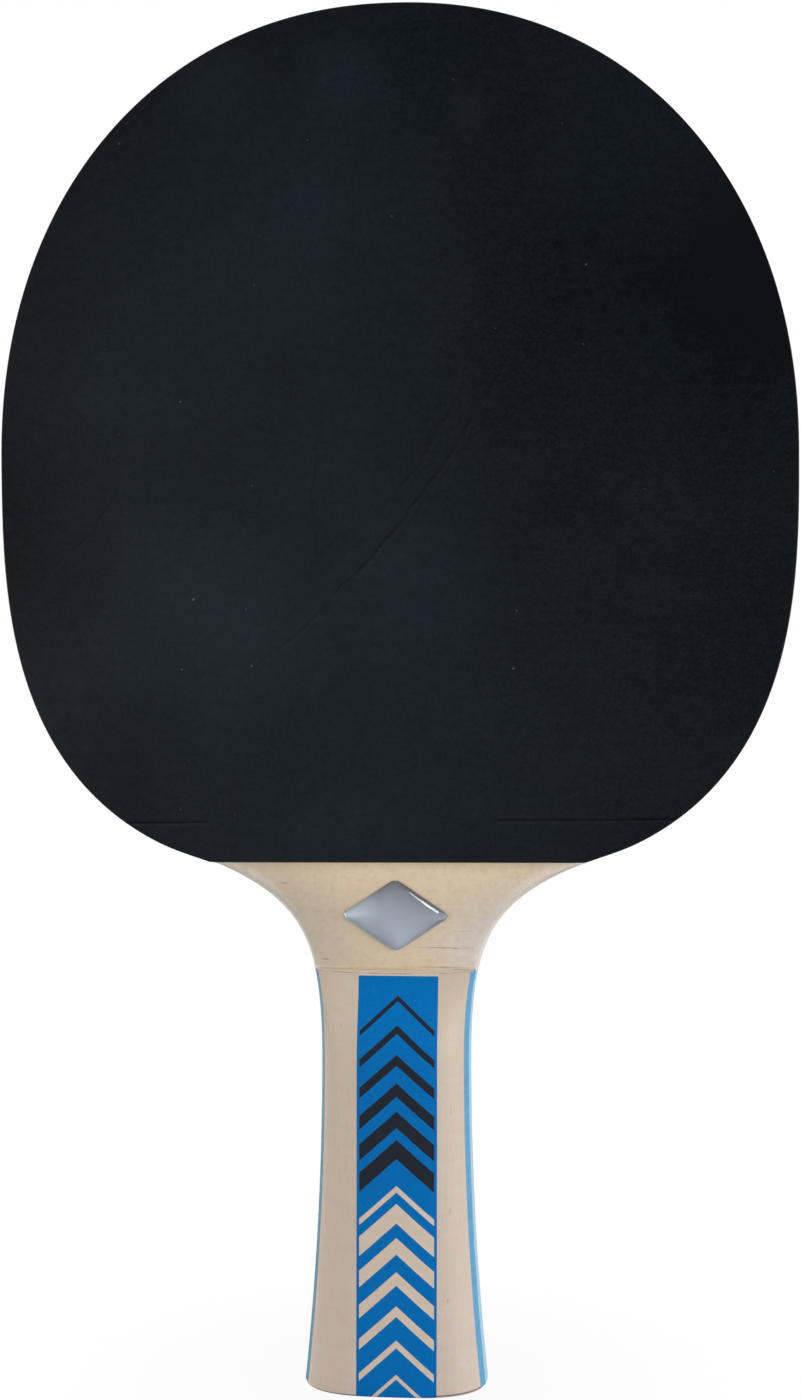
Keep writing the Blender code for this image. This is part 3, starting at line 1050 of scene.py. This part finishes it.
def dyed_veneer():
    """Blue dyed wood, darker on its left side as painted shade; its end on top is painted pale as painted
    light.
    """
    pale = shade(92, 166, 204)
    deep = shade(62, 140, 186)
    material, tree, shader, place, grain = grained(
        "dyed_veneer", pale, deep, pores=0.3, along_length=True, roughness=0.5,
    )
    # Painted shade on the left side
    left = calculate(tree, "LESS_THAN", parts_of(tree, place)["X"], 0.0)
    colour = blend(tree, left, grain["Color"], LEFT_SIDE_PAINTED_SHADE, "MULTIPLY")
    # The blue layer's end on top is painted pale as painted light, with no shadow line
    lit_liner_end = shade(218, 202, 181)
    colour = end_colour(tree, place, colour, lit_liner_end, lit_liner_end)
    set_inputs(tree, shader, {"Base Color": colour})
    return material


# Print on the inlay: chevrons that thin out towards both ends
PRINT_BORDER = 0.0005
PRINT_TOP_MARGIN = 0.0005
CHEVRON_SLOPE = 0.9
CHEVRON_PITCH = 0.0058
DARK_RANGE = (0.0445, 0.0765)
BARE_RANGE = (0.0035, 0.0395)
WIDE_SHARE = 0.68
THIN_SHARE = 0.14
PRINT_SPECULAR = 0.05
INK_START = 0.35


def chevron_mask(tree, rise, ends, start_share, end_share):
    """Chevrons between two levels, whose width changes steadily from one end to the other."""
    share = remap(tree, rise, ends[0], ends[1], start_share, end_share)
    count = calculate(tree, "DIVIDE", calculate(tree, "SUBTRACT", rise, ends[0]), CHEVRON_PITCH)
    stripe = calculate(tree, "LESS_THAN", calculate(tree, "FRACT", count), share)
    above = calculate(tree, "GREATER_THAN", rise, ends[0])
    below = calculate(tree, "LESS_THAN", rise, ends[1])
    return times(tree, stripe, above, below)


def printed_veneer():
    pale = shade(213, 199, 183)
    deep = shade(204, 188, 170)
    material, tree, shader, place, grain = grained(
        "printed_veneer", pale, deep, pores=0.2, along_length=True, roughness=0.45,
    )
    parts = parts_of(tree, place)
    aside = calculate(tree, "ABSOLUTE", calculate(tree, "SUBTRACT", parts["X"], INLAY_OFFSET))
    rise = calculate(tree, "ADD", parts["Z"], times(tree, aside, CHEVRON_SLOPE))
    inside = calculate(tree, "LESS_THAN", aside, INLAY_WIDTH / 2 - PRINT_BORDER)
    dark = chevron_mask(tree, rise, DARK_RANGE, WIDE_SHARE, THIN_SHARE)
    bare = chevron_mask(tree, rise, BARE_RANGE, THIN_SHARE, WIDE_SHARE)
    dark = times(tree, dark, inside)
    bare = times(tree, bare, inside)
    margin = calculate(tree, "GREATER_THAN", parts["Z"], HANDLE_LENGTH - PRINT_TOP_MARGIN)
    bare = calculate(tree, "MAXIMUM", bare, margin)
    speck = noise(tree, place, (1800, 1800, 1800), 2.0)
    uneven = remap(tree, speck, INK_START, NOISE_HIGH)
    blue = blend(tree, uneven, shade(4, 105, 177), shade(8, 111, 184))
    ink = blend(tree, dark, blue, shade(36, 41, 50))
    colour = blend(tree, bare, ink, grain["Color"])
    # Painted light on the end face and painted shadow along its rim
    colour = end_colour(tree, place, colour, LIT_END_PAINT, RIM_SHADOW_PAINT)
    set_inputs(tree, shader, {"Base Color": colour, "Specular IOR Level": PRINT_SPECULAR})
    return material


# Creases in the front rubber: centre and radius of an arc, the heights between which it shows, strength
CREASES = [
    ((-0.148, 0.283), 0.1915, (0.128, 0.198), 1.0),
    ((-0.131, 0.268), 0.1650, (0.163, 0.190), 0.6),
    ((-0.130, 0.225), 0.0960, (0.150, 0.172), 0.6),
    ((0.230, 0.165), 0.2455, (0.152, 0.186), 0.4),
    ((0.300, 0.215), 0.3080, (0.205, 0.238), 0.4),
]
CREASE_WIDTH = 0.00035
CREASE_WANDER = 0.0030
CREASE_BREAKS = (0.35, 0.6)
CREASE_SHARES = (0.15, 1.0)


def crease_masks(tree, place):
    """The pale side, a painted highlight, and the dark side, painted shade, of thin creases along arcs,
    wandering and fading at their ends.
    """
    parts = parts_of(tree, place)
    wander = noise(tree, place, (110, 110, 110), 3.0)
    wander = times(tree, calculate(tree, "SUBTRACT", wander, 0.5), CREASE_WANDER)
    breaks = remap(tree, noise(tree, place, (260, 260, 260), 2.0), *CREASE_BREAKS, *CREASE_SHARES)
    masks = [0.0, 0.0]
    for centre, radius, stretch, strength in CREASES:
        away = away_from(tree, parts, centre)
        off = calculate(tree, "SUBTRACT", calculate(tree, "ADD", away, wander), radius)
        third = (stretch[1] - stretch[0]) / 3
        fade_in = remap(tree, parts["Z"], stretch[0], stretch[0] + third, 0.0, strength)
        fade_out = remap(tree, parts["Z"], stretch[1] - third, stretch[1], 1.0, 0.0)
        shown = times(tree, fade_in, fade_out, breaks)
        for index, shift in enumerate((-CREASE_WIDTH, CREASE_WIDTH)):
            apart = calculate(tree, "ABSOLUTE", calculate(tree, "ADD", off, shift))
            line = remap(tree, apart, 0.0, CREASE_WIDTH, 1.0, 0.0, smooth=True)
            line = times(tree, line, shown)
            masks[index] = calculate(tree, "MAXIMUM", masks[index], line)
    return masks


# Haze left by handling and painted sheen on the front rubber: centre and reach of each soft patch, and its
# strength; the last two darken it
HAZE_AND_SHEEN_PATCHES = [
    ((-0.030, 0.150), 0.100, 0.39),
    ((-0.030, 0.222), 0.056, 0.28),
    ((0.000, 0.236), 0.045, 0.09),
    ((-0.035, 0.246), 0.012, 0.18),
    ((-0.010, 0.247), 0.011, 0.18),
    ((0.014, 0.239), 0.007, 0.15),
    ((-0.036, 0.146), 0.028, 0.16),
    ((0.005, 0.149), 0.024, 0.12),
    ((-0.006, 0.095), 0.062, 0.19),
    ((0.074, 0.212), 0.050, -0.33),
    ((-0.082, 0.160), 0.040, -0.43),
]


def haze_and_sheen_mask(tree, place):
    """Soft pale patches, partly haze left by handling and partly painted sheen."""
    parts = parts_of(tree, place)
    total = 0.0
    for centre, reach, strength in HAZE_AND_SHEEN_PATCHES:
        away = away_from(tree, parts, centre)
        total = calculate(tree, "ADD", total, remap(tree, away, 0.0, reach, strength, 0.0, smooth=True))
    return total


def line_masks(tree, place, gap):
    """Painted highlight along the lower wall of the scored line, and painted shade under its upper wall."""
    parts = parts_of(tree, place)
    level = tilted_level(tree, parts, LINE_TILT)
    left = calculate(tree, "LESS_THAN", parts["X"], gap[0])
    right = calculate(tree, "GREATER_THAN", parts["X"], gap[1])
    beside_gap = calculate(tree, "MAXIMUM", left, right)
    masks = []
    for middle in (LINE_LEVEL - LINE_WIDTH / 3, LINE_LEVEL + LINE_WIDTH / 6):
        off = calculate(tree, "ABSOLUTE", calculate(tree, "SUBTRACT", level, middle))
        near = remap(tree, off, LINE_WIDTH / 6, LINE_WIDTH / 3, 1.0, 0.0)
        masks.append(times(tree, near, beside_gap))
    return masks


BLACK = (0.0, 0.0, 0.0, 1.0)
RUBBER_SPECULAR = 0.085
RUBBER_TINT = (0.80, 0.92, 1.0, 1.0)
RUBBER_ROUGHNESS = (0.34, 0.42)
SKIN_RELIEF = 0.2
GROOVE_SHADE = 0.6
SPECK_CELLS = 80.0
SPECK_DUST = 0.24
# Painted highlight along the scored line's lower wall and the creases' pale side
LINE_HIGHLIGHT = 0.010
CREASE_HIGHLIGHT = 0.008


def rubber(name, deep, pale, dust_and_highlight_colour, gap, creased):
    material, tree, shader, place = new_material(name)
    skin = use_group(tree, RUBBER_SKIN, {"Vector": place})
    specks = use_group(tree, DUST, {"Vector": place, "Cells": SPECK_CELLS})["Mask"]
    specks = times(tree, specks, SPECK_DUST)
    haze = skin["Haze"]
    if creased:
        # Haze and painted sheen on the front rubber
        haze = calculate(tree, "ADD", haze, haze_and_sheen_mask(tree, place))
    colour = blend(tree, haze, deep, pale)
    colour = blend(tree, specks, colour, dust_and_highlight_colour)
    # Painted highlight and painted shade along the scored line and the creases
    dust, dark = line_masks(tree, place, gap)
    dust = times(tree, dust, LINE_HIGHLIGHT)
    height = times(tree, skin["Height"], SKIN_RELIEF)
    if creased:
        crease, crease_shade = crease_masks(tree, place)
        height = calculate(tree, "ADD", height, crease)
        dust = calculate(tree, "MAXIMUM", dust, times(tree, crease, CREASE_HIGHLIGHT))
        dark = calculate(tree, "MAXIMUM", dark, crease_shade)
    colour = blend(tree, dust, colour, dust_and_highlight_colour)
    colour = blend(tree, times(tree, dark, GROOVE_SHADE), colour, BLACK)
    set_inputs(tree, shader, {
        "Base Color": colour,
        "Roughness": remap(tree, skin["Haze"], 0.0, 1.0, *RUBBER_ROUGHNESS),
        "Specular IOR Level": RUBBER_SPECULAR,
        "Specular Tint": RUBBER_TINT,
    })
    bump(tree, shader, height, strength=0.6, depth=0.0001)
    return material


def black_rubber():
    deep, pale, dust = shade(4, 8, 14), shade(34, 40, 47), shade(170, 178, 184)
    return rubber("black_rubber", deep, pale, dust, LINE_GAP["front"], creased=True)


def red_rubber():
    deep, pale, dust = shade(158, 24, 28), shade(176, 32, 34), shade(220, 190, 186)
    return rubber("red_rubber", deep, pale, dust, LINE_GAP["back"], creased=False)


FOOT_SHADE_REACH = 0.0002
FOAM_CELLS = 2600.0
PIT_START = 0.5
PIT_FULL = 0.1
PIT_SHADE = 0.45


def sponge_foam():
    """Open foam, painted dark along its foot as painted shade."""
    material, tree, shader, place = new_material("sponge_foam")
    cells = add_node(tree, "TexVoronoi", {"Vector": place, "Scale": FOAM_CELLS}).outputs["Distance"]
    tone = noise(tree, place, (120, 120, 120), 3.0)
    pit = remap(tree, cells, PIT_FULL, PIT_START, 1.0, 0.0)
    colour = blend(tree, tone, shade(228, 184, 112), shade(212, 164, 92))
    colour = blend(tree, times(tree, pit, PIT_SHADE), colour, shade(150, 104, 50))
    level = parts_of(tree, place)["Z"]
    # Painted shade along the foam's foot
    foot = calculate(tree, "LESS_THAN", level, RUBBER_FOOT + FOOT_SHADE_REACH)
    colour = blend(tree, foot, colour, shade(78, 56, 38))
    set_inputs(tree, shader, {"Base Color": colour, "Roughness": 0.9})
    bump(tree, shader, calculate(tree, "SUBTRACT", 1.0, pit), strength=0.5, depth=0.0002)
    return material


# Painted reflection on the foil turns it from grey to pale along a slope, and a painted highlight makes it
# palest at the left tip
SHEEN_SLOPE = (-20.0, 0.0, -75.0)
SHEEN_MIDDLE = SHEEN_SLOPE[2] * BADGE_LEVEL
SHEEN_HALF = 0.45
TIP_START = -0.15 * BADGE_WIDTH
TIP_FULL = -0.4 * BADGE_WIDTH
TIP_SHARE = 0.9
GRIT_SHARE = 0.1


def badge_foil():
    material, tree, shader, place = new_material("badge_foil")
    grit = noise(tree, place, (5000, 5000, 5000), 2.0)
    # Painted reflection along the slope
    slope = vector_math(tree, "DOT_PRODUCT", place, SHEEN_SLOPE)["Value"]
    turn = remap(tree, slope, SHEEN_MIDDLE - SHEEN_HALF, SHEEN_MIDDLE + SHEEN_HALF)
    colour = blend(tree, turn, shade(153, 157, 162), shade(220, 231, 245))
    colour = blend(tree, times(tree, grit, GRIT_SHARE), colour, shade(214, 218, 224))
    across = parts_of(tree, place)["X"]
    # Painted highlight at the left tip
    tip = remap(tree, across, TIP_START, TIP_FULL, 0.0, TIP_SHARE)
    colour = blend(tree, tip, colour, shade(238, 249, 255))
    rough = remap(tree, grit, NOISE_LOW, NOISE_HIGH, 0.29, 0.33)
    set_inputs(tree, shader, {"Base Color": colour, "Roughness": rough, "Metallic": 1.0})
    return material


def badge_resin():
    material, tree, shader, place = new_material("badge_resin")
    ripple = noise(tree, place, (260, 260, 260), 1.0)
    tint = blend(tree, ripple, shade(250, 252, 255), shade(244, 247, 252))
    inputs = {"Base Color": tint, "Roughness": 0.03, "IOR": 1.5, "Transmission Weight": 1.0}
    set_inputs(tree, shader, inputs)
    return material


# Stage: floor, world, lamps and camera

WHITE = (1.0, 1.0, 1.0, 1.0)
FLOOR_SIZE = 6.0
FLOOR_PAINT = (0.35, 0.35, 0.35, 1.0)
FLOOR_WHITE = 0.93
FLOOR_MIRRORED = 0.5
SHADOW_REACH = 0.08


def make_floor():
    """A pale floor that looks white and keeps a soft shadow."""
    material, tree, shader, place = new_material("pale_floor")
    tree.nodes.remove(shader)
    paint = add_node(tree, "BsdfDiffuse", {"Color": FLOOR_PAINT}).outputs[0]
    white = add_node(tree, "Emission", {"Color": WHITE, "Strength": 1.0}).outputs[0]
    ray = add_node(tree, "LightPath").outputs
    away = vector_math(tree, "LENGTH", place)["Value"]
    whiteness = remap(tree, away, 0.0, SHADOW_REACH, FLOOR_WHITE, smooth=True)
    seen = times(tree, ray["Is Camera Ray"], whiteness)
    mirrored = calculate(tree, "MAXIMUM", ray["Is Glossy Ray"], ray["Is Transmission Ray"])
    share = calculate(tree, "MAXIMUM", seen, times(tree, mirrored, FLOOR_MIRRORED))
    mixed = add_node(tree, "MixShader", {0: share, 1: paint, 2: white}).outputs[0]
    set_inputs(tree, tree.nodes["Material Output"], {"Surface": mixed})
    bm = bmesh.new()
    bmesh.ops.create_grid(bm, x_segments=1, y_segments=1, size=FLOOR_SIZE / 2)
    floor = add_object("floor", finish_mesh(bm, "floor", material))


# World: bright on both sides and behind, dim above and in front, dimmest in front on the right
SURROUND_LEFT_LEVEL = 1.00
SURROUND_RIGHT_LEVEL = 1.60
CEILING_LEVEL = 0.06
ZENITH_LEVEL = 3.0
FRONT_LEFT_LEVEL = 1.10
FRONT_RIGHT_LEVEL = 0.25
STUDIO_COLOUR = (0.97, 0.985, 1.0, 1.0)

# Where the world's parts begin and end, as parts of a direction of length 1
FRONT_ENDS = (-0.55, -0.92)
FRONT_TURN = (-0.30, 0.14)
SURROUND_TURN = (-0.5, 0.5)
CEILING_ENDS = (0.05, 0.50)
ZENITH_ENDS = (0.82, 0.92)


def make_world():
    world = bpy.data.worlds.new("studio")
    bpy.context.scene.world = world
    world.use_nodes = True
    tree = world.node_tree
    tree.nodes.clear()
    heading = add_node(tree, "TexCoord").outputs["Generated"]
    parts = parts_of(tree, heading)
    front = remap(tree, parts["Y"], *FRONT_ENDS, smooth=True)
    above = remap(tree, parts["Z"], *CEILING_ENDS, smooth=True)
    front_level = remap(tree, parts["X"], *FRONT_TURN, FRONT_LEFT_LEVEL, FRONT_RIGHT_LEVEL)
    surround = remap(tree, parts["X"], *SURROUND_TURN, SURROUND_LEFT_LEVEL, SURROUND_RIGHT_LEVEL)
    level = fade_between(tree, front, surround, front_level)
    level = fade_between(tree, above, level, CEILING_LEVEL)
    zenith = remap(tree, parts["Z"], *ZENITH_ENDS, smooth=True)
    level = fade_between(tree, zenith, level, ZENITH_LEVEL)
    studio = add_node(tree, "Background", {"Color": STUDIO_COLOUR, "Strength": level}).outputs[0]
    white = add_node(tree, "Background", {"Color": WHITE, "Strength": 1.0}).outputs[0]
    ray = add_node(tree, "LightPath").outputs
    mixed = add_node(tree, "MixShader", {0: ray["Is Camera Ray"], 1: studio, 2: white}).outputs[0]
    add_node(tree, "OutputWorld", {"Surface": mixed})


def make_lamp(name, place, size, power, roll=0.0, colour=(1.0, 1.0, 1.0)):
    """A soft lamp of a width and a height that faces the middle of the paddle, rolled about its axis."""
    lamp = bpy.data.lights.new(name, "AREA")
    lamp.shape = "RECTANGLE"
    lamp.size, lamp.size_y = size
    lamp.energy = power
    lamp.color = colour
    holder = add_object(name, lamp)
    holder.location = place
    heading = Vector((0.0, 0.0, HEAD_TOP / 2)) - Vector(place)
    turn = heading.to_track_quat("-Z", "Y") @ Quaternion((0.0, 0.0, 1.0), roll)
    holder.rotation_euler = turn.to_euler()


SPARK_ROLL = math.radians(-33.7)


def make_lamps():
    make_lamp("key_lamp", (0.91, -0.42, 0.16), (0.50, 0.50), power=7.7)
    make_lamp("fill_lamp", (-0.79, -0.50, 0.07), (0.44, 0.12), power=3.2, colour=(1.0, 0.95, 0.86))
    make_lamp("spark_lamp", (0.325, -0.770, 0.555), (0.034, 0.13), power=0.22, roll=SPARK_ROLL)
    make_lamp("back_lamp", (-0.55, 0.85, 0.30), (0.60, 0.60), power=6.0)


def make_camera():
    back = Vector((
        math.sin(CAMERA_AZIMUTH) * math.cos(CAMERA_ELEVATION),
        -math.cos(CAMERA_AZIMUTH) * math.cos(CAMERA_ELEVATION),
        math.sin(CAMERA_ELEVATION),
    ))
    right = Vector((math.cos(CAMERA_AZIMUTH), math.sin(CAMERA_AZIMUTH), 0.0))
    target = right * CAMERA_ASIDE + Vector((0.0, 0.0, CAMERA_LEVEL))
    data = bpy.data.cameras.new("camera")
    data.lens = CAMERA_LENS
    data.sensor_width = CAMERA_SENSOR
    data.clip_start = CAMERA_NEAR
    camera = add_object("camera", data)
    camera.location = target + back * CAMERA_DISTANCE
    camera.rotation_euler = (-back).to_track_quat("-Z", "Y").to_euler()
    bpy.context.scene.camera = camera


WOOD_GRAIN = wood_grain_group()
DUST = dust_group()
RUBBER_SKIN = rubber_skin_group()

bpy.context.scene.view_settings.view_transform = "Standard"
make_camera()
make_world()
make_lamps()
make_floor()
make_blade()
make_rubbers()
make_handle()
make_badge()
